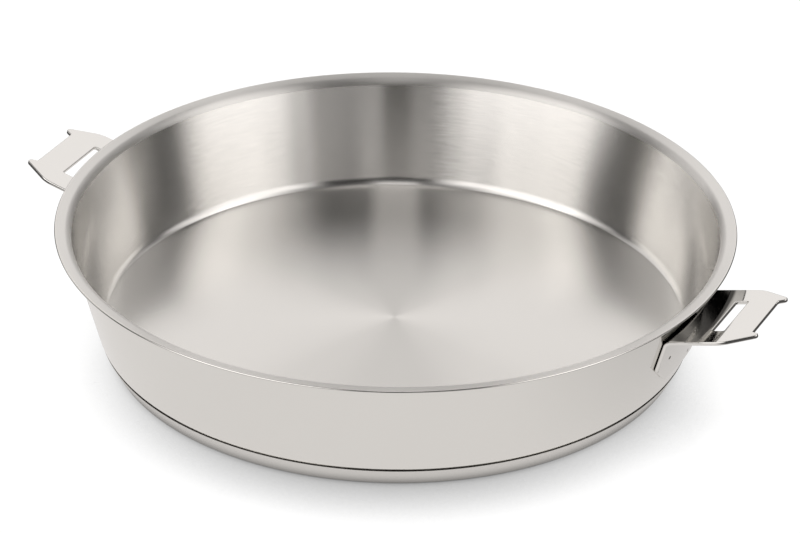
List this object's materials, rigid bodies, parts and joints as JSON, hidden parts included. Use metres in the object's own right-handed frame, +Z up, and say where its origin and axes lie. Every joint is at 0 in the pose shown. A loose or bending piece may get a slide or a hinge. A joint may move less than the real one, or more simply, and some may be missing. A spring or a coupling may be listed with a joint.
{
  "type": "frying pan",
  "caption": "Round stainless steel frying pan with a flared pouring lip, an encapsulated heat-spreading base and opposed slotted brackets for a clip-on handle.",
  "frame": {"origin": "middle of the base, on the surface that the pan stands on", "axes": "+Z up through the middle of the pan; +X from the middle towards the right-hand bracket; -X towards the other bracket"},
  "size_m": [0.3552, 0.3, 0.0582],
  "materials": {
    "brushed_stainless": "circular-brushed stainless steel inside, bright polished outside",
    "spreader_aluminium": "plain rolled aluminium, sealed inside the base",
    "satin_stainless": "satin stainless steel cap with fine circular grain",
    "polished_stainless": "mirror-polished stainless steel stamping with softened edges",
    "weld_steel": "dull grey spot-weld nugget"
  },
  "bodies": {
    "root": {"pan_shell": "brushed_stainless", "heat_spreader_disc": "spreader_aluminium", "base_cap": "satin_stainless", "right_bracket": "polished_stainless", "left_bracket": "polished_stainless", "right_bracket_welds": "weld_steel", "left_bracket_welds": "weld_steel"}
  },
  "joints": []
}
